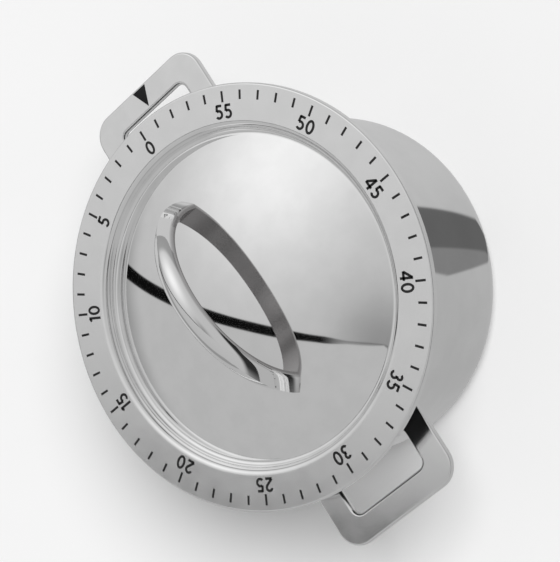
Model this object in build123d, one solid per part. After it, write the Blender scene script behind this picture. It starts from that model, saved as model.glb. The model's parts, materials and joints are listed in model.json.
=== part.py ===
from build123d import *

import os
from math import atan2, cos, degrees, hypot, radians, sin, sqrt

# Pot-shaped clockwork kitchen timer, millimetres, standing on its base.
# +Z is up through the dial, +Y points to the ear with the index mark, and the
# origin is the centre of the base's underside. The timer is set at zero.

# Pot and its two ears
POT_R = 30.7
SHEET = 0.5
POT_CORNER = 5.0
RIM_Z = 35.2
EAR_TOP_Z = 29.7
EAR_THICK = 1.4
EAR_REACH = 45.5
EAR_HALF = 13.1
EAR_CORNER = 4.3
EAR_EDGE = 0.35
EAR_ROOT = 15.0
SLOT_HALF = 8.2
SLOT_IN = 33.0
SLOT_OUT = 40.6
SLOT_CORNER = 1.5
SLOT_EDGE = 0.65
MARK_HALF = 1.6
MARK_BASE = 45.15
MARK_TIP = 41.4
MARK_DEEP = 0.2

# Dial cover: flat flange, sunk wall and a shallow polished dome
FACE_Z = 37.2
DIAL_R = 37.0
HEM = 1.3
HEM_EDGE = 0.35
LIP_R = 1.2
WELL_R = 29.4
VALLEY_R = 0.9
DOME_R = 75.0
DOME_RISE = 3.4
DOME_CENTRE_Z = FACE_Z + DOME_RISE - DOME_R

# Grip: a bowed strap on two studs
GRIP_R = 17.5
GRIP_SHIFT = 0.6
GRIP_WIDTH = 4.3
GRIP_SIDE = 0.75
GRIP_SIDE_FADES = 0.3
GRIP_INSIDE_GROWS = 0.3
GRIP_RIDGE = 0.9
CROWN_MID = 1.0
CROWN_FOOT = 2.1
BOW_CENTRE_Z = 36.8
BOW_END = 1
BOW_SPANS = 12
STUD_AT = 18.35
STUD_R = 0.8
STUD_LOW_Z = 31.0
STUD_TOP_Z = 38.5
SLEEVE_R = 1.6
WASHER_R = 2.2
WASHER_THICK = 0.4
NUT_ACROSS = 3.2
NUT_THICK = 1.3

# Carrier under the dome, pressed on the dial shaft
VALLEY_REACH = sqrt((DOME_R + VALLEY_R) ** 2 - (WELL_R - VALLEY_R) ** 2)
CARRIER_TOP_Z = DOME_CENTRE_Z + VALLEY_REACH - VALLEY_R - SHEET
CARRIER_THICK = 1.2
CARRIER_R = 29.0
RIB_REACH = 26.0
RIB_THICK = 1.0
RIB_DEEP = 2.0
HUB_R = 5.0
HUB_LOW_Z = 26.5
SHAFT_R = 2.0
SHAFT_PIVOT_R = 1.5
SHAFT_TOP_Z = 32.8
SHAFT_FLAT = 1.4

# Movement frame
LOWER_Z = 11.0
UPPER_Z = 24.0
PLATE_THICK = 1.0
LOWER_PLATE_R = 26.0
UPPER_PLATE_R = 28.6
PILLAR_R = 1.6
PILLAR_AT = 23.5
PILLAR_ANGLES = (65, 150, 325)
PILLAR_SPIGOT_R = 1.0
SCREW_R = 0.8
SCREW_DEEP = 2.8
SCREW_HEAD_R = 1.6
SCREW_HEAD = 1.0
SCREW_SLOT = 0.4
BUSH_R = 3.0
BUSH_FLANGE_R = 4.0
LOWER_BUSH_TOP_Z = 12.5
UPPER_BUSH_TOP_Z = 26.0
RING_DEEP = 3.5
RING_IN_R = 25.2
RING_SCREW_AT = 27.2
RING_SCREW_ANGLES = (30, 150, 270)

# Arbors and their running fit
PIVOT_R = 0.5
ARBOR_R = 1.0
RUN = 0.05
SHOULDER = 0.3

# Gear train: teeth, module and the direction from each arbor to the next
GREAT_TEETH, SECOND_LEAVES, GREAT_MODULE = 48, 12, 0.6
SECOND_TEETH, THIRD_LEAVES, SECOND_MODULE = 40, 10, 0.45
THIRD_TEETH, ESCAPE_LEAVES, THIRD_MODULE = 36, 9, 0.4
SECOND_TOWARDS = 200
THIRD_TOWARDS = -50
ESCAPE_TOWARDS = -15
GREAT_Z = 13.0
SECOND_Z = 16.0
THIRD_Z = 18.6
ESCAPE_Z = 21.2
WHEEL_THICK = 0.8
LEAF_OVERHANG = 0.4
TOOTH_ROOT = 0.44
TOOTH_PITCH = 0.34
TOOTH_TIP = 0.17
ADDENDUM = 0.7
DEDENDUM = 1.05
WINDOW_AT = 0.55
WINDOW_R = 0.22
WINDOW_TURN = 60
RATCHET_TEETH = 16
RATCHET_R = 4.4
RATCHET_TOOTH = 0.7
CLICK_AT = 7.6
CLICK_LEAN = 40
CLICK_WIDE = 0.9
CLICK_GAP = 0.2

# Mainspring
SPRING_IN_R = 3.0
SPRING_OUT_R = 8.0
SPRING_HALF_TURNS = 16
SPRING_STRIP = 0.3
SPRING_LOW_Z = 15.2
SPRING_HIGH_Z = 20.4
SPRING_POST_R = 0.8
SPRING_POST_ANGLE = 90

# Escapement
ESCAPE_R = 4.2
ESCAPE_TOOTH = 1.1
ESCAPE_TEETH = 15
STAFF_R = 0.8
PALLET_BOSS_R = 1.4
ANCHOR_AWAY = 7.2
PALLET_R = 0.35
PALLET_REACH = 5.4
PALLET_SPREAD = 42
INERTIA_HALF = 4.4
INERTIA_WIDE = 1.0
INERTIA_TURN = 70
INERTIA_Z = 22.5

# Bell, hammer and trip
BELL_TOP_Z = 9.4
BELL_R = 19.5
BELL_RIM_Z = 3.4
BELL_THICK = 0.6
BELL_CORNER = 4.0
BELL_SCREW_STOP = 0.3
HAMMER_AT, HAMMER_ANGLE = 23.5, 35
HAMMER_STAFF_R = 0.9
HAMMER_BOSS_R = 1.3
HAMMER_WIDE = 1.4
HAMMER_LOW_Z = 4.6
HAMMER_ARM_Z = 5.0
HEAD_AT, HEAD_ANGLE = 22.3, 5
HEAD_R = 1.8
HEAD_BORE_R = 0.5
HEAD_DEEP = 1.6
COIL_R = 1.5
COIL_WIRE_R = 0.18
COIL_PITCH = 0.7
COIL_TURNS = 5
COIL_LOW_Z = 14.0
TRIP_Z = 22.4
TRIP_R = 5.0
TRIP_NOTCH_R = 1.0
TRIP_GAP = 0.4


def polar(radius, angle):
    """A point at a radius and an angle in degrees."""
    return (radius * cos(radians(angle)), radius * sin(radians(angle)))


def shifted(start, distance, angle):
    """The point that lies a distance from start in a direction in degrees."""
    dx, dy = polar(distance, angle)
    return (start[0] + dx, start[1] + dy)


SECOND_AT = shifted((0, 0), GREAT_MODULE * (GREAT_TEETH + SECOND_LEAVES) / 2, SECOND_TOWARDS)
THIRD_AT = shifted(SECOND_AT, SECOND_MODULE * (SECOND_TEETH + THIRD_LEAVES) / 2, THIRD_TOWARDS)
ESCAPE_AT = shifted(THIRD_AT, THIRD_MODULE * (THIRD_TEETH + ESCAPE_LEAVES) / 2, ESCAPE_TOWARDS)
ANCHOR_AT = shifted(ESCAPE_AT, ANCHOR_AWAY, 0)
HAMMER_XY = polar(HAMMER_AT, HAMMER_ANGLE)
HEAD_XY = polar(HEAD_AT, HEAD_ANGLE)


def disc(radius, low, high, at=(0, 0)):
    """An upright cylinder between two heights."""
    return Pos(at[0], at[1], (low + high) / 2) * Cylinder(radius, high - low)


def slab(face, low, high):
    """A flat face drawn at height 0, as a plate between two heights."""
    return Pos(0, 0, low) * extrude(face, high - low)


def turned(*edges):
    """The solid that a closed half-section in the XZ plane sweeps about Z."""
    return revolve(make_face(Curve() + list(edges)), Axis.Z)


def in_section(r, z):
    """A point of a half-section."""
    return (r, 0, z)


def arc(centre, radius, start, sweep):
    """An arc of a half-section about centre, in degrees from +X towards +Z."""
    points = [
        in_section(
            centre[0] + radius * cos(radians(start + share * sweep)),
            centre[1] + radius * sin(radians(start + share * sweep)),
        )
        for share in (0, 0.5, 1)
    ]
    return ThreePointArc(*points)


def chained(pieces):
    """Joins arcs and the points between them into a closed outline, in order."""
    edges = []
    last = None
    first = None
    for piece in pieces:
        start = piece @ 0 if isinstance(piece, Edge) else Vector(*piece)
        if last is not None and (start - last).length > 1e-6:
            edges.append(Line(last, start))
        if isinstance(piece, Edge):
            edges.append(piece)
            last = piece @ 1
        else:
            last = start
        first = start if first is None else first
    if (first - last).length > 1e-6:
        edges.append(Line(last, first))
    return edges


# ---------------------------------------------------------------- pot and ears


def pot_shell():
    """Deep-drawn pot: flat base, rounded corner and a straight wall."""
    corner = (POT_R - POT_CORNER, POT_CORNER)
    return turned(
        *chained(
            [
                in_section(0, 0),
                arc(corner, POT_CORNER, -90, 90),
                in_section(POT_R, RIM_Z - SHEET / 2),
                arc((POT_R - SHEET / 2, RIM_Z - SHEET / 2), SHEET / 2, 0, 180),
                arc(corner, POT_CORNER - SHEET, 0, -90),
                in_section(0, SHEET),
            ]
        )
    )


def mark_outline():
    """The index triangle, its tip towards the dial."""
    corners = [(-MARK_HALF, MARK_BASE), (MARK_HALF, MARK_BASE), (0, MARK_TIP)]
    return make_face(Polyline(*corners, close=True))


def in_slot(edge):
    """Whether an edge of an ear belongs to its slot."""
    x, y, _ = edge.center()
    return abs(x) < SLOT_HALF + SLOT_EDGE / 2 and SLOT_IN - SLOT_EDGE / 2 < y < SLOT_OUT + SLOT_EDGE / 2


def on_outside(edge):
    """Whether an edge of an ear lies on its outline."""
    x, y, _ = edge.center()
    return abs(x) > EAR_HALF - EAR_CORNER or y > EAR_REACH - EAR_CORNER


def ear(turn):
    """One flat loop, welded to the pot's wall, turned about Z by an angle."""
    mid = (EAR_REACH + EAR_ROOT) / 2
    blank = RectangleRounded(2 * EAR_HALF, EAR_REACH - EAR_ROOT, EAR_CORNER)
    slot = RectangleRounded(2 * SLOT_HALF, SLOT_OUT - SLOT_IN, SLOT_CORNER)
    face = Pos(0, mid) * blank - Pos(0, (SLOT_IN + SLOT_OUT) / 2) * slot
    low = EAR_TOP_Z - EAR_THICK
    plate = slab(face, low, EAR_TOP_Z)
    plate = fillet(plate.edges().filter_by(Plane.XY).filter_by(in_slot), SLOT_EDGE)
    outside = plate.edges().filter_by(Plane.XY).filter_by(on_outside)
    plate = fillet(outside, EAR_EDGE)
    plate -= disc(POT_R, low - 1, EAR_TOP_Z + 1)
    return Rot(0, 0, turn) * plate


def pointer_mark():
    """Black enamel that fills the triangle cut in the front ear."""
    return slab(mark_outline(), EAR_TOP_Z - MARK_DEEP, EAR_TOP_Z)


def pointer_ear():
    """The ear towards +Y, with the shallow pocket for the index triangle."""
    return ear(0) - pointer_mark()


# ------------------------------------------------------------------------ dial


def cover_side(offset):
    """The cover's section from the lip to the axis, offset into the sheet."""
    lip = (WELL_R + LIP_R, FACE_Z - LIP_R)
    valley = (WELL_R - VALLEY_R, DOME_CENTRE_Z + VALLEY_REACH)
    meet = degrees(atan2(valley[1] - DOME_CENTRE_Z, valley[0]))
    return [
        arc(lip, LIP_R - offset, 90, 90),
        arc(valley, VALLEY_R + offset, 0, meet - 180),
        arc((0, DOME_CENTRE_Z), DOME_R - offset, meet, 90 - meet),
    ]


def reversed_arcs(edges):
    """The same arcs, run the other way."""
    return [ThreePointArc(e @ 1, e @ 0.5, e @ 0) for e in reversed(edges)]


def dial_cover():
    """One spun sheet: hemmed flange, sunk wall, dome and two stud holes."""
    edge = (DIAL_R - HEM_EDGE, FACE_Z - HEM_EDGE)
    cover = turned(
        *chained(
            [
                in_section(DIAL_R - SHEET, FACE_Z - HEM),
                in_section(DIAL_R, FACE_Z - HEM),
                arc(edge, HEM_EDGE, 0, 90),
                *cover_side(0),
                *reversed_arcs(cover_side(SHEET)),
                in_section(DIAL_R - SHEET, FACE_Z - SHEET),
            ]
        )
    )
    return cover - at_studs(disc(STUD_R, STUD_LOW_Z, FACE_Z + DOME_RISE))


def backing_ring():
    """Black ring that backs the flange, held inside its hem."""
    outer = disc(DIAL_R - SHEET, FACE_Z - HEM + 0.1, FACE_Z - SHEET)
    return outer - disc(POT_R + 0.1, FACE_Z - HEM, FACE_Z)


def crown_point(share, crown, sharp):
    """Height of the strap's top at a share of its half width, 0 at the ridge.

    A sharp of 0 is one smooth arc over the strap, and 1 two flat slopes that
    meet in a ridge.
    """
    half = GRIP_WIDTH / 2
    radius = (half**2 + crown**2) / (2 * crown)
    smooth = crown - radius + sqrt(radius**2 - (half * share) ** 2)
    flat = crown * (1 - share)
    return smooth + (flat - smooth) * sharp


def grip_section(angle):
    """The strap's section at an angle round the bow: flat inside, crowned out."""
    half = GRIP_WIDTH / 2
    foot = cos(radians(angle)) ** 2
    crown = CROWN_MID + (CROWN_FOOT - CROWN_MID) * foot
    inner = GRIP_R - GRIP_INSIDE_GROWS * foot
    side = GRIP_R + GRIP_SIDE - GRIP_SIDE_FADES * foot
    bulge = side + crown_point(0.5, crown, GRIP_RIDGE * foot)

    def at(x, radius):
        y, z = polar(radius, angle)
        return (x, y + GRIP_SHIFT, z + BOW_CENTRE_Z)

    corners = [at(half, side), at(half, inner), at(-half, inner), at(-half, side)]
    edges = [Line(corners[i], corners[i + 1]) for i in range(3)]
    ridge = at(0, side + crown)
    left = ThreePointArc(corners[3], at(-half / 2, bulge), ridge)
    right = ThreePointArc(ridge, at(half / 2, bulge), corners[0])
    return make_face(Curve() + [*edges, left, right])


def stud_places():
    """The axes of the grip's two studs."""
    return [(0, GRIP_SHIFT + side * STUD_AT) for side in (1, -1)]


def at_studs(solids):
    """The same small solid at both studs."""
    return Part() + [Pos(*place) * solids for place in stud_places()]


def grip():
    """Bowed strap that rests on the dome, with a stud down from each foot."""
    angles = [BOW_END + i * (180 - 2 * BOW_END) / BOW_SPANS for i in range(BOW_SPANS + 1)]
    strap = loft([grip_section(angle) for angle in angles])
    strap -= Pos(0, 0, DOME_CENTRE_Z) * Sphere(DOME_R)
    return strap + at_studs(disc(STUD_R, STUD_LOW_Z, STUD_TOP_Z))


def stud_sleeves():
    """Spacers between the carrier and the underside of the dome."""
    sleeves = Part()
    for x, y in stud_places():
        out = abs(y) + SLEEVE_R
        top = DOME_CENTRE_Z + sqrt((DOME_R - SHEET) ** 2 - out**2)
        sleeve = disc(SLEEVE_R, CARRIER_TOP_Z, top, (x, y))
        sleeves += sleeve - disc(STUD_R, CARRIER_TOP_Z - 1, top + 1, (x, y))
    return sleeves


def grip_washers():
    """Washers under the carrier."""
    high = CARRIER_TOP_Z - CARRIER_THICK
    low = high - WASHER_THICK
    return at_studs(disc(WASHER_R, low, high) - disc(STUD_R, low, high))


def grip_nuts():
    """Hexagon nuts that pull the grip and the cover on to the carrier."""
    high = CARRIER_TOP_Z - CARRIER_THICK - WASHER_THICK
    low = high - NUT_THICK
    face = RegularPolygon(NUT_ACROSS / 2, 6, major_radius=False)
    return at_studs(slab(face, low, high) - disc(STUD_R, low, high))


def shaft_end(low, high):
    """The flatted top of the dial shaft."""
    keep = Pos(SHAFT_FLAT - SHAFT_R, 0, (low + high) / 2) * Box(2 * SHAFT_R, 2 * SHAFT_R, high - low)
    return disc(SHAFT_R, low, high) & keep


def dial_carrier():
    """Black moulding: disc under the cover, ribs and a hub for the shaft."""
    low = CARRIER_TOP_Z - CARRIER_THICK
    carrier = disc(CARRIER_R, low, CARRIER_TOP_Z) + disc(HUB_R, HUB_LOW_Z, low)
    for turn in range(0, 360, 45):
        rib = Pos(RIB_REACH / 2, 0, low - RIB_DEEP / 2) * Box(RIB_REACH, RIB_THICK, RIB_DEEP)
        carrier += Rot(0, 0, turn + 22.5) * rib
    carrier -= shaft_end(HUB_LOW_Z, SHAFT_TOP_Z)
    return carrier - at_studs(disc(STUD_R, low - 1, CARRIER_TOP_Z + 1))


def dial_shaft():
    """Steel shaft: lower pivot, body and a flatted end in the hub."""
    shaft = disc(SHAFT_PIVOT_R, LOWER_Z, LOWER_BUSH_TOP_Z + SHOULDER)
    shaft += disc(SHAFT_R, LOWER_BUSH_TOP_Z + SHOULDER, HUB_LOW_Z)
    return shaft + shaft_end(HUB_LOW_Z, SHAFT_TOP_Z)


# ------------------------------------------------------------------ gear train


def toothed(teeth, shape, phase, at):
    """A flat outline of repeated teeth.

    shape lists each tooth's corners as (radius, share of the tooth pitch).
    """
    pitch = 360 / teeth
    corners = [
        shifted(at, radius, phase + (tooth + share) * pitch)
        for tooth in range(teeth)
        for radius, share in shape
    ]
    return make_face(Polyline(*corners, close=True))


def gear(teeth, module, phase, at):
    """A spur gear's outline, with slim teeth that leave running room."""
    pitch_r = teeth * module / 2
    half = [
        (pitch_r - DEDENDUM * module, TOOTH_ROOT / 2),
        (pitch_r, TOOTH_PITCH / 2),
        (pitch_r + ADDENDUM * module, TOOTH_TIP / 2),
    ]
    rising = [(radius, -share) for radius, share in half]
    return toothed(teeth, rising + half[::-1], phase, at)


def meshed(driver_teeth, driver_phase, towards, teeth):
    """The phase that puts a gap of the driven gear over the driver's tooth."""
    along = (towards - driver_phase) * driver_teeth / 360
    return towards + 180 - (0.5 - along) * 360 / teeth


def wheel(teeth, module, low, at, bore):
    """A brass wheel with three lightening holes."""
    face = gear(teeth, module, 0, at) - Pos(*at) * Circle(bore)
    pitch_r = teeth * module / 2
    for turn in range(0, 360, 120):
        hole = shifted(at, pitch_r * WINDOW_AT, turn + WINDOW_TURN)
        face -= Pos(*hole) * Circle(pitch_r * WINDOW_R)
    return slab(face, low, low + WHEEL_THICK)


def arbor(at, radius=ARBOR_R):
    """An arbor between the plates, with a thin pivot at each end."""
    body = disc(radius, LOWER_Z + PLATE_THICK + SHOULDER, UPPER_Z - SHOULDER, at)
    return body + disc(PIVOT_R, LOWER_Z, UPPER_Z + PLATE_THICK, at)


def pinion(leaves, module, phase, wheel_low, at):
    """An arbor cut with leaves where the wheel before it meshes."""
    leaf = gear(leaves, module, phase, at)
    return arbor(at) + slab(leaf, wheel_low - LEAF_OVERHANG, wheel_low + WHEEL_THICK + LEAF_OVERHANG)


def great_wheel():
    """The wheel on the dial shaft."""
    return wheel(GREAT_TEETH, GREAT_MODULE, GREAT_Z, (0, 0), SHAFT_R)


def second_pinion():
    """Arbor and leaves driven by the great wheel."""
    phase = meshed(GREAT_TEETH, 0, SECOND_TOWARDS, SECOND_LEAVES)
    return pinion(SECOND_LEAVES, GREAT_MODULE, phase, GREAT_Z, SECOND_AT)


def second_wheel():
    """The wheel on the second arbor."""
    return wheel(SECOND_TEETH, SECOND_MODULE, SECOND_Z, SECOND_AT, ARBOR_R)


def third_pinion():
    """Arbor and leaves driven by the second wheel."""
    phase = meshed(SECOND_TEETH, 0, THIRD_TOWARDS, THIRD_LEAVES)
    return pinion(THIRD_LEAVES, SECOND_MODULE, phase, SECOND_Z, THIRD_AT)


def third_wheel():
    """The wheel on the third arbor."""
    return wheel(THIRD_TEETH, THIRD_MODULE, THIRD_Z, THIRD_AT, ARBOR_R)


def escape_pinion():
    """Arbor and leaves driven by the third wheel."""
    phase = meshed(THIRD_TEETH, 0, ESCAPE_TOWARDS, ESCAPE_LEAVES)
    return pinion(ESCAPE_LEAVES, THIRD_MODULE, phase, THIRD_Z, ESCAPE_AT)


def escape_wheel():
    """Pointed escape wheel."""
    tooth = [(ESCAPE_R - ESCAPE_TOOTH, 0), (ESCAPE_R - ESCAPE_TOOTH, 0.5), (ESCAPE_R, 0.8)]
    face = toothed(ESCAPE_TEETH, tooth, 0, ESCAPE_AT) - Pos(*ESCAPE_AT) * Circle(ARBOR_R)
    return slab(face, ESCAPE_Z, ESCAPE_Z + WHEEL_THICK)


def ratchet_wheel():
    """Saw-toothed wheel fixed on the shaft, against the great wheel."""
    tooth = [(RATCHET_R - RATCHET_TOOTH, 0), (RATCHET_R, 0.9), (RATCHET_R - RATCHET_TOOTH, 0.98)]
    face = toothed(RATCHET_TEETH, tooth, 0, (0, 0)) - Circle(SHAFT_R)
    low = GREAT_Z + WHEEL_THICK
    return slab(face, low, low + WHEEL_THICK)


def lever_face(start, end, width, boss):
    """A round-ended bar between two points, with a boss round the first."""
    reach = hypot(end[0] - start[0], end[1] - start[1])
    lean = degrees(atan2(end[1] - start[1], end[0] - start[0]))
    bar = Pos(reach / 2, 0) * SlotCenterToCenter(reach, width)
    return Pos(*start) * Rot(0, 0, lean) * (bar + Circle(boss))


def click():
    """Pawl riveted to the great wheel, its nose by the ratchet's teeth."""
    low = GREAT_Z + WHEEL_THICK
    nose = polar(RATCHET_R + CLICK_WIDE / 2 + CLICK_GAP, 0)
    rivet = polar(CLICK_AT, CLICK_LEAN)
    return slab(lever_face(rivet, nose, CLICK_WIDE, CLICK_WIDE), low, low + WHEEL_THICK)


def trip_cam():
    """Disc with the notch that lets the hammer go at zero."""
    notch = Pos(*polar(TRIP_R, HAMMER_ANGLE)) * Circle(TRIP_NOTCH_R)
    return slab(Circle(TRIP_R) - notch - Circle(SHAFT_R), TRIP_Z, TRIP_Z + WHEEL_THICK)


def mainspring():
    """Flat coiled spring round the shaft, as half turns of growing radius."""
    growth = (SPRING_OUT_R - SPRING_IN_R) / SPRING_HALF_TURNS
    face = Sketch()
    for turn in range(SPRING_HALF_TURNS):
        mid = SPRING_IN_R + growth * turn
        side = 1 if turn % 2 else -1
        ring = Circle(mid + SPRING_STRIP / 2) - Circle(mid - SPRING_STRIP / 2)
        half = ring & (Pos(0, side * SPRING_OUT_R) * Rectangle(3 * SPRING_OUT_R, 2 * SPRING_OUT_R))
        face += Pos(-side * growth / 2, 0) * half
    return slab(face, SPRING_LOW_Z, SPRING_HIGH_Z)


def spring_post():
    """Post down from the upper plate for the mainspring's outer end."""
    at = polar(SPRING_OUT_R + SPRING_POST_R + RUN, SPRING_POST_ANGLE)
    return disc(SPRING_POST_R, SPRING_LOW_Z, UPPER_Z, at)


# -------------------------------------------------------------- movement frame


def pivot_holes(plate, at_each, low):
    """Cuts round holes of given radii through a plate."""
    for at, radius in at_each:
        plate -= disc(radius, low - 1, low + PLATE_THICK + 1, at)
    return plate


def arbor_holes():
    """The running holes that both plates share."""
    return [(at, PIVOT_R + RUN) for at in (SECOND_AT, THIRD_AT, ESCAPE_AT, ANCHOR_AT)]


def lower_plate():
    """Brass plate under the train."""
    plate = disc(LOWER_PLATE_R, LOWER_Z, LOWER_Z + PLATE_THICK)
    pillars = [(polar(PILLAR_AT, angle), PILLAR_SPIGOT_R) for angle in PILLAR_ANGLES]
    others = [((0, 0), BUSH_R), (HAMMER_XY, HAMMER_STAFF_R + RUN)]
    return pivot_holes(plate, arbor_holes() + pillars + others, LOWER_Z)


def upper_plate():
    """Brass plate over the train, screwed to the pillars and the ring."""
    plate = disc(UPPER_PLATE_R, UPPER_Z, UPPER_Z + PLATE_THICK)
    screws = [(polar(PILLAR_AT, angle), SCREW_R) for angle in PILLAR_ANGLES]
    screws += [(polar(RING_SCREW_AT, angle), SCREW_R) for angle in RING_SCREW_ANGLES]
    others = [((0, 0), BUSH_R), (HAMMER_XY, PIVOT_R + RUN)]
    return pivot_holes(plate, arbor_holes() + screws + others, UPPER_Z)


def plate_pillars():
    """Pillars with a riveted lower spigot and a tapped top."""
    pillars = Part()
    for angle in PILLAR_ANGLES:
        at = polar(PILLAR_AT, angle)
        pillar = disc(PILLAR_R, LOWER_Z + PLATE_THICK, UPPER_Z, at)
        pillar += disc(PILLAR_SPIGOT_R, LOWER_Z, LOWER_Z + PLATE_THICK, at)
        pillars += pillar - disc(SCREW_R, UPPER_Z - SCREW_DEEP, UPPER_Z, at)
    return pillars


def screw(at, head_low, deep, head_up=1):
    """A slotted screw, its head above or below the face that it holds."""
    head = disc(SCREW_HEAD_R, 0, SCREW_HEAD, (0, 0))
    head -= Pos(0, 0, SCREW_HEAD) * Box(3 * SCREW_HEAD_R, SCREW_SLOT, SCREW_HEAD)
    whole = head + disc(SCREW_R, -deep, 0)
    return Pos(at[0], at[1], head_low) * Rot(90 - 90 * head_up, 0, 0) * whole


def screws_at(radius, angles):
    """Screws through the upper plate on a circle."""
    top = UPPER_Z + PLATE_THICK
    return Part() + [screw(polar(radius, a), top, PLATE_THICK + SCREW_DEEP) for a in angles]


def pillar_screws():
    """Screws from the upper plate into the pillars."""
    return screws_at(PILLAR_AT, PILLAR_ANGLES)


def ring_screws():
    """Screws from the upper plate into the mounting ring."""
    return screws_at(RING_SCREW_AT, RING_SCREW_ANGLES)


def mounting_ring():
    """Plastic ring pressed into the pot; the movement hangs from it."""
    low = UPPER_Z - RING_DEEP
    ring = disc(POT_R - SHEET, low, UPPER_Z) - disc(RING_IN_R, low, UPPER_Z)
    for angle in RING_SCREW_ANGLES:
        ring -= disc(SCREW_R, UPPER_Z - SCREW_DEEP, UPPER_Z, polar(RING_SCREW_AT, angle))
    return ring


def bush(plate_low, low, high, bore):
    """A flanged brass bush pressed into the middle of a plate."""
    whole = disc(BUSH_R, low, high) + disc(BUSH_FLANGE_R, plate_low + PLATE_THICK, high)
    return whole - disc(bore, low - 1, high + 1)


def lower_bush():
    """Bearing for the shaft's lower pivot."""
    return bush(LOWER_Z, LOWER_Z, LOWER_BUSH_TOP_Z, SHAFT_PIVOT_R + RUN)


def upper_bush():
    """Bearing for the shaft below the dial's hub."""
    return bush(UPPER_Z, UPPER_Z, UPPER_BUSH_TOP_Z, SHAFT_R + RUN)


# ------------------------------------------------------- escapement and ringer


def pallet_lever():
    """Two-armed lever with a steel pin on each arm, clear of the wheel."""
    lever = Circle(PALLET_BOSS_R)
    pins = Part()
    for side in (1, -1):
        x, y = polar(PALLET_REACH, side * PALLET_SPREAD)
        reach, lean = hypot(x - ANCHOR_AWAY, y), degrees(atan2(y, x - ANCHOR_AWAY))
        arm = Pos(reach / 2, 0) * SlotCenterToCenter(reach, 2 * PALLET_R + 0.2)
        lever += Rot(0, 0, lean) * arm
        pins += disc(PALLET_R, ESCAPE_Z - 0.2, ESCAPE_Z + WHEEL_THICK, (x - ANCHOR_AWAY, y))
    lever -= Circle(STAFF_R)
    return Pos(*ANCHOR_AT) * (slab(lever, ESCAPE_Z, ESCAPE_Z + WHEEL_THICK) + pins)


def pallet_staff():
    """The staff that the lever and the inertia bar rock on."""
    return arbor(ANCHOR_AT, STAFF_R)


def inertia_bar():
    """Brass bar with a weight at each end, which slows the beat."""
    bar = SlotCenterToCenter(2 * INERTIA_HALF, INERTIA_WIDE)
    for side in (1, -1):
        bar += Pos(side * INERTIA_HALF, 0) * Circle(INERTIA_WIDE)
    bar += Circle(PALLET_BOSS_R)
    bar -= Circle(STAFF_R)
    solid = slab(bar, INERTIA_Z, INERTIA_Z + WHEEL_THICK)
    return Pos(*ANCHOR_AT) * Rot(0, 0, INERTIA_TURN) * solid


def bell():
    """Dished steel gong, open downwards, round the bell post."""
    corner = (BELL_R - BELL_CORNER, BELL_TOP_Z - BELL_CORNER)
    return turned(
        *chained(
            [
                in_section(SCREW_R, BELL_TOP_Z),
                arc(corner, BELL_CORNER, 90, -90),
                in_section(BELL_R, BELL_RIM_Z),
                in_section(BELL_R - BELL_THICK, BELL_RIM_Z),
                arc(corner, BELL_CORNER - BELL_THICK, 0, 90),
                in_section(SCREW_R, BELL_TOP_Z - BELL_THICK),
            ]
        )
    )


def bell_post():
    """Flanged post riveted under the lower plate."""
    post = disc(BUSH_FLANGE_R + 1, LOWER_Z - BELL_THICK, LOWER_Z)
    post += disc(BUSH_R, BELL_TOP_Z, LOWER_Z)
    return post - disc(SCREW_R, BELL_TOP_Z - 1, LOWER_Z - BELL_SCREW_STOP)


def bell_screw():
    """Screw that holds the bell up against its post."""
    head_at = BELL_TOP_Z - BELL_THICK
    deep = LOWER_Z - BELL_SCREW_STOP - head_at
    return screw((0, 0), head_at, deep, head_up=-1)


def hammer_staff():
    """Staff from the bell's level up to the upper plate."""
    staff = disc(HAMMER_STAFF_R, HAMMER_LOW_Z, UPPER_Z - SHOULDER, HAMMER_XY)
    return staff + disc(PIVOT_R, HAMMER_LOW_Z, UPPER_Z + PLATE_THICK, HAMMER_XY)


def lever_plate(start, end, width, boss, low):
    """A flat lever on the hammer's staff, out to a point."""
    face = lever_face(start, end, width, boss) - Pos(*start) * Circle(HAMMER_STAFF_R)
    return slab(face, low, low + WHEEL_THICK)


def hammer_arm():
    """Arm from the staff to the hammer's head."""
    arm = lever_plate(HAMMER_XY, HEAD_XY, HAMMER_WIDE, HAMMER_BOSS_R, HAMMER_ARM_Z)
    return arm - disc(HEAD_BORE_R, HAMMER_ARM_Z - 1, HAMMER_ARM_Z + 2, HEAD_XY)


def hammer_head():
    """Round weight riveted through the arm, beside the bell's rim."""
    over = HAMMER_ARM_Z + WHEEL_THICK
    head = disc(HEAD_R, HAMMER_ARM_Z - HEAD_DEEP, HAMMER_ARM_Z, HEAD_XY)
    head += disc(HEAD_BORE_R, HAMMER_ARM_Z, over, HEAD_XY)
    return head + disc(HEAD_R, over, over + HEAD_DEEP, HEAD_XY)


def trip_finger():
    """Finger on the same staff, its tip just off the cam."""
    tip = polar(TRIP_R + TRIP_GAP + HAMMER_WIDE / 2, HAMMER_ANGLE)
    return lever_plate(HAMMER_XY, tip, HAMMER_WIDE, HAMMER_BOSS_R, TRIP_Z)


def hammer_spring():
    """Coil round the hammer's staff."""
    turns = Helix(COIL_PITCH, COIL_PITCH * COIL_TURNS, COIL_R)
    wire = sweep(Plane(turns @ 0, z_dir=turns % 0) * Circle(COIL_WIRE_R), turns)
    return Pos(HAMMER_XY[0], HAMMER_XY[1], COIL_LOW_Z) * wire


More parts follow.
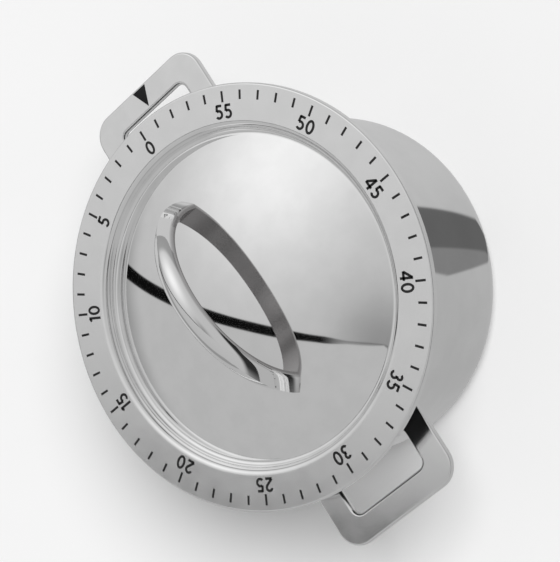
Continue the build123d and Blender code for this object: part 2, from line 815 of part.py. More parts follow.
NODES = {
    "pot_shell": pot_shell,
    "pointer_ear": pointer_ear,
    "pointer_mark": pointer_mark,
    "rear_ear": lambda: ear(180),
    "dial_cover": dial_cover,
    "backing_ring": backing_ring,
    "grip": grip,
    "stud_sleeves": stud_sleeves,
    "grip_washers": grip_washers,
    "grip_nuts": grip_nuts,
    "dial_carrier": dial_carrier,
    "dial_shaft": dial_shaft,
    "great_wheel": great_wheel,
    "ratchet_wheel": ratchet_wheel,
    "click": click,
    "trip_cam": trip_cam,
    "mainspring": mainspring,
    "spring_post": spring_post,
    "second_pinion": second_pinion,
    "second_wheel": second_wheel,
    "third_pinion": third_pinion,
    "third_wheel": third_wheel,
    "escape_pinion": escape_pinion,
    "escape_wheel": escape_wheel,
    "pallet_staff": pallet_staff,
    "pallet_lever": pallet_lever,
    "inertia_bar": inertia_bar,
    "lower_plate": lower_plate,
    "upper_plate": upper_plate,
    "plate_pillars": plate_pillars,
    "pillar_screws": pillar_screws,
    "mounting_ring": mounting_ring,
    "ring_screws": ring_screws,
    "lower_bush": lower_bush,
    "upper_bush": upper_bush,
    "bell": bell,
    "bell_post": bell_post,
    "bell_screw": bell_screw,
    "hammer_staff": hammer_staff,
    "hammer_arm": hammer_arm,
    "hammer_head": hammer_head,
    "trip_finger": trip_finger,
    "hammer_spring": hammer_spring,
}


def main():
    """Writes one STEP file for each sub-part."""
    os.makedirs("parts", exist_ok=True)
    for name, build in NODES.items():
        export_step(build(), os.path.join("parts", name + ".step"))


if __name__ == "__main__":
    main()
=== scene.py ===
"""Looks of a pot-shaped clockwork kitchen timer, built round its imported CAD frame.

Every size below is in millimetres in the frame's own axes: +Z up through the dial,
+Y towards the ear with the index mark, origin at the centre of the base's underside.
"""

import json
import logging
from dataclasses import dataclass
from enum import Enum
from math import atan2, cos, degrees, pi, radians, sin, sqrt
from typing import Callable, Dict, List, Optional, Sequence, Tuple, Union

import bmesh
import bpy
from mathutils import Matrix, Vector


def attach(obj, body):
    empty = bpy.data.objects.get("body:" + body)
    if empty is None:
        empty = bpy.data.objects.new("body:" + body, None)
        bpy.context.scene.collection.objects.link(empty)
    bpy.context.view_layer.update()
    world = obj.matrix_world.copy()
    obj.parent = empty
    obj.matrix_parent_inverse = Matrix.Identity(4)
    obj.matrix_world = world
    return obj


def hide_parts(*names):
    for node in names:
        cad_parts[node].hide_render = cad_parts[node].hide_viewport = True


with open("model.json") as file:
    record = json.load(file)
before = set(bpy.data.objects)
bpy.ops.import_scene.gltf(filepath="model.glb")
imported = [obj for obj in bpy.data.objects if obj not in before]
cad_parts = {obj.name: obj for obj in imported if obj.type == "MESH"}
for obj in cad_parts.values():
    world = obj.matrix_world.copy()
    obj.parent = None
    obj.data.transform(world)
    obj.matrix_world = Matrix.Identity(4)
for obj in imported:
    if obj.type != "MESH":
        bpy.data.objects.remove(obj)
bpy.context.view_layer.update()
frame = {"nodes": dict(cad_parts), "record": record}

MM = 0.001
AXIS = Vector((0, 0, 1))
SHARP_ANGLE = radians(32)
CORNER_ANGLE = radians(80)
TINY = 1e-4

Colour = Tuple[float, float, float]
Point = Tuple[float, float]
log = logging.getLogger("timer")


class Body(Enum):
    """The bodies that pieces ride on."""

    POT = "pot"
    DIAL = "dial"


class Slot(Enum):
    """The record's material slots."""

    POLISHED_STEEL = "polished_steel"
    SATIN_STEEL = "satin_steel"
    PLAIN_STEEL = "plain_steel"
    SPRING_STEEL = "spring_steel"
    BRASS = "brass"
    BLACK_PLASTIC = "black_plastic"
    BLACK_ENAMEL = "black_enamel"


# ------------------------------------------------------------------ shader maths


class Value:
    """A number that changes over a surface, held by a node's output socket."""

    def __init__(self, shade: "Shade", socket: bpy.types.NodeSocket) -> None:
        """Keeps the socket and the tree that it belongs to."""
        self.shade = shade
        self.socket = socket

    def maths(self, operation: str, *terms: "Number") -> "Value":
        """Adds one Math node.

        Args:
            operation: the Math node's operation.
            terms: what goes into its inputs, in order.

        Returns:
            The node's result.
        """
        node = self.shade.node("Math", {"operation": operation}, dict(enumerate(terms)))
        return Value(self.shade, node.outputs[0])

    def __add__(self, other: "Number") -> "Value":
        """The sum."""
        return self.maths("ADD", self, other)

    def __radd__(self, other: "Number") -> "Value":
        """The sum, number first."""
        return self.maths("ADD", other, self)

    def __sub__(self, other: "Number") -> "Value":
        """The difference."""
        return self.maths("SUBTRACT", self, other)

    def __rsub__(self, other: "Number") -> "Value":
        """The difference, number first."""
        return self.maths("SUBTRACT", other, self)

    def __mul__(self, other: "Number") -> "Value":
        """The product."""
        return self.maths("MULTIPLY", self, other)

    def __rmul__(self, other: "Number") -> "Value":
        """The product, number first."""
        return self.maths("MULTIPLY", other, self)

    def __truediv__(self, other: "Number") -> "Value":
        """The quotient."""
        return self.maths("DIVIDE", self, other)

    def __abs__(self) -> "Value":
        """The size without its sign."""
        return self.maths("ABSOLUTE", self)

    def exp(self) -> "Value":
        """e to this power."""
        return self.maths("EXPONENT", self)

    def rise(self, low: float, high: float) -> "Value":
        """A smooth step.

        Args:
            low: where the step starts.
            high: where it ends. Below low, the step goes down.

        Returns:
            0 before the step, 1 after it.
        """
        if low > high:
            return 1 - self.rise(high, low)
        node = self.shade.node(
            "MapRange",
            {"interpolation_type": "SMOOTHSTEP"},
            {"Value": self, "From Min": low, "From Max": high},
        )
        return Value(self.shade, node.outputs[0])


Number = Union[Value, float]
Feed = Union[Value, float, Sequence[float], bpy.types.NodeSocket]


class Shade:
    """One node tree, of a material or of the world, and what builds it."""

    def __init__(self, tree: bpy.types.NodeTree) -> None:
        """Takes a tree and empties it."""
        self.tree = tree
        self.tree.nodes.clear()

    def node(
        self,
        kind: str,
        settings: Optional[Dict[str, object]] = None,
        inputs: Optional[Dict[Union[str, int], Feed]] = None,
    ) -> bpy.types.Node:
        """Makes one node.

        Args:
            kind: the node's type, without the words ShaderNode.
            settings: its properties, set before its inputs.
            inputs: the values or links of its sockets, by name or by number.

        Returns:
            The node.
        """
        made = self.tree.nodes.new("ShaderNode" + kind)
        for name, value in (settings or {}).items():
            setattr(made, name, value)
        for key, value in (inputs or {}).items():
            if isinstance(value, Value):
                value = value.socket
            if isinstance(value, bpy.types.NodeSocket):
                self.tree.links.new(value, made.inputs[key])
            else:
                made.inputs[key].default_value = value
        return made

    def place(self) -> bpy.types.NodeSocket:
        """The point on the piece, in metres, in the frame's axes."""
        return self.node("TexCoord").outputs["Object"]

    def axis_values(self, point: bpy.types.NodeSocket) -> List[Value]:
        """The three coordinates of a point."""
        split = self.node("SeparateXYZ", None, {0: point})
        return [Value(self, socket) for socket in split.outputs]

    def radius(self) -> Value:
        """The distance from the timer's axis, in millimetres."""
        x, y, _ = self.axis_values(self.place())
        squares = (x * x + y * y) * (1 / MM**2)
        return squares.maths("SQRT", squares)

    def noise(self, size: float, detail: float = 2.0, stretch: Colour = (1, 1, 1)) -> Value:
        """Cloudy variation over the piece.

        Args:
            size: the size of its patches, in millimetres.
            detail: how many finer layers it has.
            stretch: how much denser it is along each axis.

        Returns:
            A value about 0.5.
        """
        grown = self.node("Mapping", None, {"Vector": self.place(), "Scale": stretch})
        node = self.node(
            "TexNoise",
            None,
            {"Vector": grown.outputs[0], "Scale": 1 / (size * MM), "Detail": detail},
        )
        return Value(self, node.outputs[0])

    def bump(
        self, height: Value, depth: float, under: Optional[bpy.types.NodeSocket] = None
    ) -> bpy.types.NodeSocket:
        """A relief in the surface.

        Args:
            height: the relief, from 0 to 1.
            depth: how deep it is, in millimetres.
            under: a coarser relief that it lies on.

        Returns:
            The surface's normal.
        """
        inputs: Dict[Union[str, int], Feed] = {"Distance": depth * MM, "Height": height}
        if under is not None:
            inputs["Normal"] = under
        return self.node("Bump", None, inputs).outputs[0]

    def blend(self, share: Value, first: Colour, second: Colour) -> bpy.types.NodeSocket:
        """A colour between two, by a share from 0 to 1."""
        node = self.node(
            "Mix", {"data_type": "RGBA"}, {0: share, 6: (*first, 1), 7: (*second, 1)}
        )
        return node.outputs[2]


# ----------------------------------------------------------------------- finishes


class Finish:
    """What a maker calls one finish. Each kind builds its own material."""

    name: str

    def dress(self, shade: Shade) -> bpy.types.Node:
        """Builds the finish's shader and returns it."""
        raise NotImplementedError

    def material(self) -> bpy.types.Material:
        """The finish's material, built once."""
        found = bpy.data.materials.get(self.name)
        if found:
            return found
        made = bpy.data.materials.new(self.name)
        made.use_nodes = True
        shade = Shade(made.node_tree)
        shader = self.dress(shade)
        shade.node("OutputMaterial", None, {"Surface": shader.outputs[0]})
        return made


@dataclass(frozen=True)
class Steel(Finish):
    """Stainless or plain steel: polished, satin or as machined.

    Haze is the roughness, cloud how much it varies in patches of cloud_size. Wave is
    the sheet's slow unevenness and grain the fine relief left by the polishing.
    """

    name: str
    tint: Colour
    haze: float
    cloud: float = 0.03
    cloud_size: float = 6.0
    wave: float = 0.0
    wave_size: float = 14.0
    grain: float = 0.0
    grain_size: float = 0.25
    stretch: Colour = (1, 1, 1)

    def dress(self, shade: Shade) -> bpy.types.Node:
        """Metal whose gloss and relief come from noise."""
        patches = shade.noise(self.cloud_size, 4.0, self.stretch)
        fine = shade.noise(self.grain_size, 2.0, self.stretch)
        rough = patches * (2 * self.cloud) + fine * self.cloud + (self.haze - 1.5 * self.cloud)
        darker = tuple(0.94 * part for part in self.tint)
        inputs: Dict[Union[str, int], Feed] = {
            "Metallic": 1.0,
            "Base Color": shade.blend(patches.rise(0.3, 0.7), darker, self.tint),
            "Roughness": rough,
        }
        normal = None
        if self.wave:
            normal = shade.bump(shade.noise(self.wave_size, 0.0), self.wave)
        if self.grain:
            normal = shade.bump(fine, self.grain, normal)
        if normal is not None:
            inputs["Normal"] = normal
        return shade.node("BsdfPrincipled", None, inputs)


@dataclass(frozen=True)
class DialSteel(Finish):
    """The dial cover: mirror polished, with a softer face on its flange."""

    name: str = "dial steel"
    tint: Colour = (0.9, 0.9, 0.9)
    dome_haze: float = 0.035
    flange_haze: float = 0.17
    flange_from: float = 30.2
    flange_to: float = 30.9

    def dress(self, shade: Shade) -> bpy.types.Node:
        """Metal that is duller outside the sunk wall than inside it."""
        flange = shade.radius().rise(self.flange_from, self.flange_to)
        patches = shade.noise(4.0, 4.0)
        fine = shade.noise(0.3, 2.0)
        haze = flange * (self.flange_haze - self.dome_haze) + self.dome_haze
        rough = haze * (patches * 0.5 + fine * 0.2 + 0.65)
        relief = shade.bump(shade.noise(9.0, 0.0), 0.012)
        relief = shade.bump(patches * flange, 0.006, relief)
        darker = tuple(0.96 * part for part in self.tint)
        return shade.node(
            "BsdfPrincipled",
            None,
            {
                "Metallic": 1.0,
                "Base Color": shade.blend(patches.rise(0.3, 0.7), darker, self.tint),
                "Roughness": rough,
                "Normal": relief,
            },
        )


@dataclass(frozen=True)
class StrapSteel(Finish):
    """The grip's steel: bright on its crown, softer on its inside and edges, and painted darker
    there and at its feet as painted dark reflection.
    """

    name: str = "strap steel"
    bright: Colour = (0.9, 0.9, 0.9)
    # The colour of the painted dark reflections.
    smoked: Colour = (0.34, 0.33, 0.33)
    haze: float = 0.05
    inside_haze: float = 0.24
    shift: float = 0.6
    centre_z: float = 36.8
    inside: float = 17.5
    half: float = 2.15
    foot_z: float = 39.2

    def dress(self, shade: Shade) -> bpy.types.Node:
        """Metal that changes with the distance from the bow's axis; its darker colour is painted
        dark reflection.
        """
        x, y, z = (value * (1 / MM) for value in shade.axis_values(shade.place()))
        y, z_up = y - self.shift, z - self.centre_z
        squares = y * y + z_up * z_up
        # Painted dark reflection: the base colour goes to the dark colour on the strap's inside,
        # near its side edges and low towards its feet.
        out = squares.maths("SQRT", squares).rise(self.inside + 0.05, self.inside + 0.5)
        edge = abs(x).rise(self.half - 0.02, self.half - 0.3)
        foot = z.rise(self.foot_z - 0.9, self.foot_z + 0.6)
        share = out * (edge * 0.6 + 0.4) * (foot * 0.45 + 0.55)
        fine = shade.noise(0.3, 2.0)
        haze = out * (self.haze - self.inside_haze) + self.inside_haze
        return shade.node(
            "BsdfPrincipled",
            None,
            {
                "Metallic": 1.0,
                "Base Color": shade.blend(share, self.smoked, self.bright),
                "Roughness": haze * (fine * 0.4 + 0.8),
                "Normal": shade.bump(shade.noise(7.0, 0.0), 0.02),
            },
        )


@dataclass(frozen=True)
class Plastic(Finish):
    """Black moulded plastic, or enamel where the haze is low."""

    name: str
    tint: Colour
    haze: float
    pebble: float = 0.01
    pebble_size: float = 0.4
    gloss: float = 0.5

    def dress(self, shade: Shade) -> bpy.types.Node:
        """Dark plastic with a fine pebbled skin."""
        fine = shade.noise(self.pebble_size, 3.0)
        broad = shade.noise(8.0, 2.0)
        paler = tuple(1.5 * part for part in self.tint)
        return shade.node(
            "BsdfPrincipled",
            None,
            {
                "Base Color": shade.blend(broad.rise(0.35, 0.75), self.tint, paler),
                "Roughness": fine * 0.12 + broad * 0.1 + (self.haze - 0.11),
                "Specular IOR Level": self.gloss,
                "Normal": shade.bump(fine, self.pebble),
            },
        )


MIRROR = Steel(
    "mirror steel", (0.9, 0.9, 0.9), 0.05, cloud=0.015, wave=0.01, grain=0.0006
)
EAR_STEEL = Steel(
    "ear steel", (0.9, 0.9, 0.9), 0.13, cloud=0.03, wave=0.02, grain=0.0012
)
POT_STEEL = Steel(
    "pot steel", (0.86, 0.86, 0.86), 0.07, cloud=0.02, cloud_size=9, wave=0.015, grain=0.0006
)
MACHINED = Steel(
    "machined steel", (0.55, 0.55, 0.56), 0.3, cloud=0.08, cloud_size=2, grain=0.004
)
BLUED = Steel("blued steel", (0.2, 0.23, 0.33), 0.28, cloud=0.06, cloud_size=3, grain=0.003)
BRASS = Steel(
    "stamped brass", (0.78, 0.6, 0.3), 0.26, cloud=0.08, cloud_size=3, grain=0.004
)
BELL_STEEL = Steel("bell steel", (0.8, 0.8, 0.81), 0.12, cloud=0.04, grain=0.002)
BLACK_PLASTIC = Plastic("black plastic", (0.006, 0.006, 0.0065), 0.5, gloss=0.25)
ENAMEL = Plastic("black enamel", (0.006, 0.006, 0.0065), 0.3, 0.003, gloss=0.2)
PRINT = Plastic("dial print", (0.01, 0.01, 0.01), 0.45, 0.004, gloss=0.3)
DIAL_STEEL = DialSteel()
STRAP_STEEL = StrapSteel()


# ------------------------------------------------------------------------- meshes


class Blank:
    """A mesh on the bench: a bmesh in millimetres that becomes one piece."""

    def __init__(self) -> None:
        """Starts with nothing."""
        self.bm = bmesh.new()

    def chain(
        self, points: Sequence[Sequence[float]], close: bool = False
    ) -> List[bmesh.types.BMVert]:
        """Joins points by edges.

        Args:
            points: the points in order.
            close: whether the last goes back to the first.

        Returns:
            The new vertices.
        """
        verts = [self.bm.verts.new(point) for point in points]
        ends = verts[1:] + ([verts[0]] if close else [])
        for first, second in zip(verts, ends):
            self.bm.edges.new((first, second))
        return verts

    def turned(self, section: Sequence[Point], steps: int) -> "Blank":
        """Spins a section of (radius, height) points round the timer's axis."""
        self.chain([(r, 0, z) for r, z in section])
        bmesh.ops.spin(
            self.bm,
            geom=self.bm.verts[:] + self.bm.edges[:],
            cent=(0, 0, 0),
            axis=AXIS,
            angle=2 * pi,
            steps=steps,
            use_merge=True,
        )
        bmesh.ops.remove_doubles(self.bm, verts=self.bm.verts, dist=1e-4)
        bmesh.ops.recalc_face_normals(self.bm, faces=self.bm.faces)
        return self

    def thicken(self, height: float) -> "Blank":
        """Pulls flat faces up by a height into a closed solid."""
        out = bmesh.ops.extrude_face_region(self.bm, geom=self.bm.faces[:])
        moved = [item for item in out["geom"] if isinstance(item, bmesh.types.BMVert)]
        bmesh.ops.translate(self.bm, verts=moved, vec=(0, 0, height))
        bmesh.ops.recalc_face_normals(self.bm, faces=self.bm.faces)
        return self

    def round_edges(self, edges: List[bmesh.types.BMEdge], size: float, segments: int) -> None:
        """Bevels some edges to a round of a given size."""
        bmesh.ops.bevel(
            self.bm,
            geom=edges,
            offset=size,
            affect="EDGES",
            segments=segments,
            profile=0.5,
            material=-1,
        )

    def piece(
        self, name: str, finish: Finish, body: Body, slot: Slot, replaced: Sequence[str] = ()
    ) -> bpy.types.Object:
        """Finishes the mesh as a named piece of the timer.

        Args:
            name: the piece's name.
            finish: its material.
            body: the body that it rides on.
            slot: the record's slot for the piece; not used.
            replaced: the CAD nodes that it stands for.

        Returns:
            The piece's object, at the origin.
        """
        for face in self.bm.faces:
            face.smooth = True
        for edge in self.bm.edges:
            edge.smooth = len(edge.link_faces) < 2 or edge.calc_face_angle(0) < SHARP_ANGLE
        bmesh.ops.scale(self.bm, vec=(MM, MM, MM), verts=self.bm.verts)
        mesh = bpy.data.meshes.new(name)
        self.bm.to_mesh(mesh)
        self.bm.free()
        mesh.materials.append(finish.material())
        made = bpy.data.objects.new(name, mesh)
        bpy.context.scene.collection.objects.link(made)
        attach(made, body.value)
        if replaced:
            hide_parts(*replaced)
        log.info("%s: %d faces", name, len(mesh.polygons))
        return made


def even_normals(made: bpy.types.Object) -> None:
    """Keeps flat faces flat where rounds meet them."""
    modifier = made.modifiers.new("even normals", "WEIGHTED_NORMAL")
    modifier.keep_sharp = True


def arc(centre: Point, radius: float, start: float, sweep: float, steps: int) -> List[Point]:
    """Points along an arc.

    Args:
        centre: its centre.
        radius: its radius.
        start: the angle of its first point, in degrees.
        sweep: how far it turns, in degrees.
        steps: how many runs it has.

    Returns:
        One more point than it has runs.
    """
    angles = [radians(start + sweep * i / steps) for i in range(steps + 1)]
    return [(centre[0] + radius * cos(a), centre[1] + radius * sin(a)) for a in angles]


# --------------------------------------------------------------------------- dial


@dataclass(frozen=True)
class Bar:
    """A straight stroke of a figure, in shares of its height."""

    start: Point
    end: Point

    def draw(self, blank: Blank, width: float) -> None:
        """Adds the stroke's flat shape to a blank."""
        (x0, y0), (x1, y1) = self.start, self.end
        length = sqrt((x1 - x0) ** 2 + (y1 - y0) ** 2)
        middle = Matrix.Translation(((x0 + x1) / 2, (y0 + y1) / 2, 0))
        turn = Matrix.Rotation(atan2(y1 - y0, x1 - x0), 4, "Z")
        size = Matrix.Diagonal((length / 2, width / 2, 1, 1))
        bmesh.ops.create_grid(
            blank.bm, x_segments=1, y_segments=1, size=1, matrix=middle @ turn @ size
        )


@dataclass(frozen=True)
class Bend:
    """A curved stroke of a figure: part of an oval, in shares of its height."""

    centre: Point
    across: float
    up: float
    start: float = 0.0
    sweep: float = 360.0
    steps: int = 24

    def draw(self, blank: Blank, width: float) -> None:
        """Adds the stroke's flat shape to a blank."""
        inner = blank.bm.verts.new((1 - width / 2, 0, 0))
        outer = blank.bm.verts.new((1 + width / 2, 0, 0))
        edge = blank.bm.edges.new((inner, outer))
        bmesh.ops.rotate(
            blank.bm, verts=(inner, outer), matrix=Matrix.Rotation(radians(self.start), 3, "Z")
        )
        known = set(blank.bm.verts) - {inner, outer}
        bmesh.ops.spin(
            blank.bm,
            geom=[inner, outer, edge],
            cent=(0, 0, 0),
            axis=AXIS,
            angle=radians(self.sweep),
            steps=self.steps,
            use_merge=abs(self.sweep) >= 360,
        )
        for vert in set(blank.bm.verts) - known:
            out = vert.co.length
            side, rise = vert.co.x / out, vert.co.y / out
            vert.co.x = self.centre[0] + (self.across + out - 1) * side
            vert.co.y = self.centre[1] + (self.up + out - 1) * rise


@dataclass(frozen=True)
class Figure:
    """One digit: its strokes, in shares of its height, and its width."""

    width: float
    strokes: Tuple[Union[Bar, Bend], ...]


FIGURES = {
    "0": Figure(0.64, (Bend((0.32, 0.5), 0.245, 0.425),)),
    "1": Figure(0.3, (Bar((0.225, 0), (0.225, 1)), Bar((0.2, 0.95), (0, 0.8)))),
    "2": Figure(
        0.58,
        (
            Bend((0.285, 0.7), 0.22, 0.225, 170, -210, 14),
            Bar((0.458, 0.557), (0.045, 0.09)),
            Bar((0.03, 0.075), (0.56, 0.075)),
        ),
    ),
    "3": Figure(
        0.58,
        (
            Bend((0.275, 0.735), 0.18, 0.19, 155, -245, 14),
            Bend((0.275, 0.295), 0.225, 0.22, 90, -245, 16),
        ),
    ),
    "4": Figure(
        0.64,
        (
            Bar((0.47, 0), (0.47, 1)),
            Bar((0.45, 0.95), (0.04, 0.3)),
            Bar((0, 0.285), (0.64, 0.285)),
        ),
    ),
    "5": Figure(
        0.58,
        (
            Bar((0.1, 0.925), (0.52, 0.925)),
            Bar((0.14, 0.97), (0.1, 0.53)),
            Bend((0.27, 0.325), 0.24, 0.25, 132, -275, 18),
        ),
    ),
}


@dataclass
class Dial:
    """The turning lid: cover, backing ring, minute marks and figures."""

    face_z: float = 37.2
    outside: float = 37.0
    sheet: float = 0.5
    hem: float = 1.3
    hem_edge: float = 0.35
    lip: float = 1.2
    well: float = 29.4
    valley: float = 0.9
    dome: float = 75.0
    dome_rise: float = 3.4
    steps: int = 288
    ring_inside: float = 30.8
    ring_drop: float = 1.2
    ring_round: float = 0.12
    mark_out: float = 35.8
    mark_in: float = 34.15
    long_mark_in: float = 33.85
    mark_wide: float = 0.42
    marks: int = 60
    figure_every: int = 5
    figure_foot: float = 31.0
    figure_tall: float = 2.5
    figure_gap: float = 0.16
    stroke: float = 0.185
    ink: float = 0.02
    ink_sink: float = 0.01
    zero_at: float = 90.0

    @property
    def dome_centre(self) -> float:
        """The height of the dome's centre."""
        return self.face_z + self.dome_rise - self.dome

    def side(self, offset: float) -> List[Point]:
        """The cover's section from the lip to the axis, set into the sheet by an offset."""
        reach = sqrt((self.dome + self.valley) ** 2 - (self.well - self.valley) ** 2)
        valley = (self.well - self.valley, self.dome_centre + reach)
        meet = degrees(atan2(reach, self.well - self.valley))
        lip = (self.well + self.lip, self.face_z - self.lip)
        points = arc(lip, self.lip - offset, 90, 90, 14)
        points += arc(valley, self.valley + offset, 0, meet - 180, 18)
        points += arc((0, self.dome_centre), self.dome - offset, meet, 90 - meet, 40)[1:]
        return points

    def cover(self) -> bpy.types.Object:
        """The spun cover: hemmed flange, sunk wall and dome, in one sheet."""
        edge = (self.outside - self.hem_edge, self.face_z - self.hem_edge)
        low = self.face_z - self.hem
        flat = 0.04
        section = [(self.outside - self.sheet, self.face_z - self.sheet)]
        section += [(self.outside - self.sheet, low), (self.outside, low)]
        section += arc(edge, self.hem_edge, 0, 90, 8)
        section += [(edge[0] - flat, self.face_z), (self.well + self.lip + flat, self.face_z)]
        section += self.side(0)
        section += reversed(self.side(self.sheet))
        section += [(self.outside - self.sheet, self.face_z - self.sheet)]
        blank = Blank().turned(section, self.steps)
        made = blank.piece(
            "cover", DIAL_STEEL, Body.DIAL, Slot.POLISHED_STEEL, ["dial_cover"]
        )
        even_normals(made)
        return made

    def ring(self) -> bpy.types.Object:
        """The black ring under the flange, its corners slightly rounded."""
        inside, out = self.ring_inside, self.outside - self.sheet
        low, high = self.face_z - self.ring_drop, self.face_z - self.sheet
        near = self.ring_round
        section = [(inside, high), (inside, low + near), (inside + near, low)]
        section += [(out - near, low), (out, low + near), (out, high), (inside, high)]
        blank = Blank().turned(section, self.steps // 2)
        return blank.piece(
            "ring", BLACK_PLASTIC, Body.DIAL, Slot.BLACK_PLASTIC, ["backing_ring"]
        )

    def printed(self, blank: Blank, name: str) -> bpy.types.Object:
        """Gives flat shapes the thickness of ink on the flange."""
        foot = self.face_z - self.ink_sink
        bmesh.ops.translate(blank.bm, verts=blank.bm.verts, vec=(0, 0, foot))
        blank.thicken(self.ink + self.ink_sink)
        return blank.piece(name, PRINT, Body.DIAL, Slot.BLACK_ENAMEL)

    def minute_marks(self) -> bpy.types.Object:
        """Sixty marks, each fifth one longer."""
        blank = Blank()
        for minute in range(self.marks):
            inner = self.mark_in if minute % self.figure_every else self.long_mark_in
            turn = radians(self.zero_at + minute * 360 / self.marks)
            middle = Matrix.Translation(((inner + self.mark_out) / 2, 0, 0))
            size = Matrix.Diagonal(((self.mark_out - inner) / 2, self.mark_wide / 2, 1, 1))
            bmesh.ops.create_grid(
                blank.bm,
                x_segments=1,
                y_segments=1,
                size=1,
                matrix=Matrix.Rotation(turn, 4, "Z") @ middle @ size,
            )
        return self.printed(blank, "minute_marks")

    def figures(self) -> bpy.types.Object:
        """The minutes from 0 to 55, their tops outwards."""
        blank = Blank()
        for minute in range(0, self.marks, self.figure_every):
            known = set(blank.bm.verts)
            digits = [FIGURES[digit] for digit in str(minute)]
            wide = sum(digit.width for digit in digits) + self.figure_gap * (len(digits) - 1)
            at = -wide / 2
            for digit in digits:
                before = set(blank.bm.verts)
                for stroke in digit.strokes:
                    stroke.draw(blank, self.stroke)
                drawn = [vert for vert in blank.bm.verts if vert not in before]
                bmesh.ops.translate(blank.bm, verts=drawn, vec=(at, 0, 0))
                at += digit.width + self.figure_gap
            turn = Matrix.Rotation(radians(self.zero_at - 90 + minute * 360 / self.marks), 4, "Z")
            foot = Matrix.Translation((0, self.figure_foot, 0))
            size = Matrix.Diagonal((self.figure_tall, self.figure_tall, 1, 1))
            drawn = [vert for vert in blank.bm.verts if vert not in known]
            bmesh.ops.transform(blank.bm, verts=drawn, matrix=turn @ foot @ size)
        return self.printed(blank, "minute_figures")


@dataclass
class Grip:
    """The bowed strap over the dome: flat inside, crowned outside, ridged at its feet."""

    dome: float = 75.0
    dome_centre: float = -34.4
    inner: float = 17.5
    side: float = 0.75
    wide: float = 4.3
    shift: float = 0.6
    centre_z: float = 36.8
    end: float = 1.0
    crown_mid: float = 1.0
    crown_foot: float = 2.1
    side_fades: float = 0.3
    ridge: float = 0.9
    foot_grows: float = 0.3
    along: int = 120
    across: int = 24
    edge_round: float = 0.16
    stud: float = 0.8
    stud_at: float = 18.35
    stud_low: float = 31.0
    stud_top: float = 38.5
    sink: float = 0.3

    def outline(self, across: float, out: float, angle: float) -> Vector:
        """Where a point of the strap lies.

        Args:
            across: -1 to 1 from one side of the strap to the other.
            out: 0 on its inside, 1 on its outside.
            angle: the place round the bow, in degrees.

        Returns:
            The point, in millimetres.
        """
        half = self.wide / 2
        foot = cos(radians(angle)) ** 2
        crown = self.crown_mid + (self.crown_foot - self.crown_mid) * foot
        bend = (half**2 + crown**2) / (2 * crown)
        smooth = crown - bend + sqrt(bend**2 - (half * across) ** 2)
        straight = crown * (1 - abs(across))
        height = smooth + (straight - smooth) * self.ridge * foot
        low = self.inner - self.foot_grows * foot
        side = self.inner + self.side - self.side_fades * foot
        radius = low + (side + height - low) * out
        y, z = radius * cos(radians(angle)), radius * sin(radians(angle))
        return Vector((across * half, y + self.shift, z + self.centre_z))

    def build(self) -> bpy.types.Object:
        """Bends a divided block into the strap, rests it on the dome and adds its studs."""
        blank = Blank()
        bm = blank.bm
        bmesh.ops.create_cube(bm, size=1)
        for axis, cuts in ((1, self.along - 1), (0, self.across - 1)):
            edges = [
                edge
                for edge in bm.edges
                if abs(edge.verts[0].co[axis] - edge.verts[1].co[axis]) > 1 / self.along
            ]
            bmesh.ops.subdivide_edges(bm, edges=edges, cuts=cuts, use_grid_fill=True)
        centre = Vector((0, 0, self.dome_centre))
        for vert in bm.verts:
            share = vert.co.y + 0.5
            angle = self.end + (180 - 2 * self.end) * share
            vert.co = self.outline(2 * vert.co.x, vert.co.z + 0.5, angle)
        for vert in bm.verts:
            out = vert.co - centre
            if out.length < self.dome - self.sink:
                vert.co = centre + out * ((self.dome - self.sink) / out.length)
        bmesh.ops.recalc_face_normals(bm, faces=bm.faces)
        for side in (1, -1):
            height = self.stud_top - self.stud_low
            place = (0, self.shift + side * self.stud_at, (self.stud_top + self.stud_low) / 2)
            bmesh.ops.create_cone(
                bm,
                cap_ends=True,
                segments=24,
                radius1=self.stud,
                radius2=self.stud,
                depth=height,
                matrix=Matrix.Translation(place),
            )
        made = blank.piece("grip_strap", STRAP_STEEL, Body.DIAL, Slot.POLISHED_STEEL, ["grip"])
        rounds = made.modifiers.new("rounds", "BEVEL")
        rounds.width = self.edge_round * MM
        rounds.segments = 3
        rounds.limit_method = "ANGLE"
        rounds.angle_limit = SHARP_ANGLE
        even_normals(made)
        return made


# ---------------------------------------------------------------------------- pot


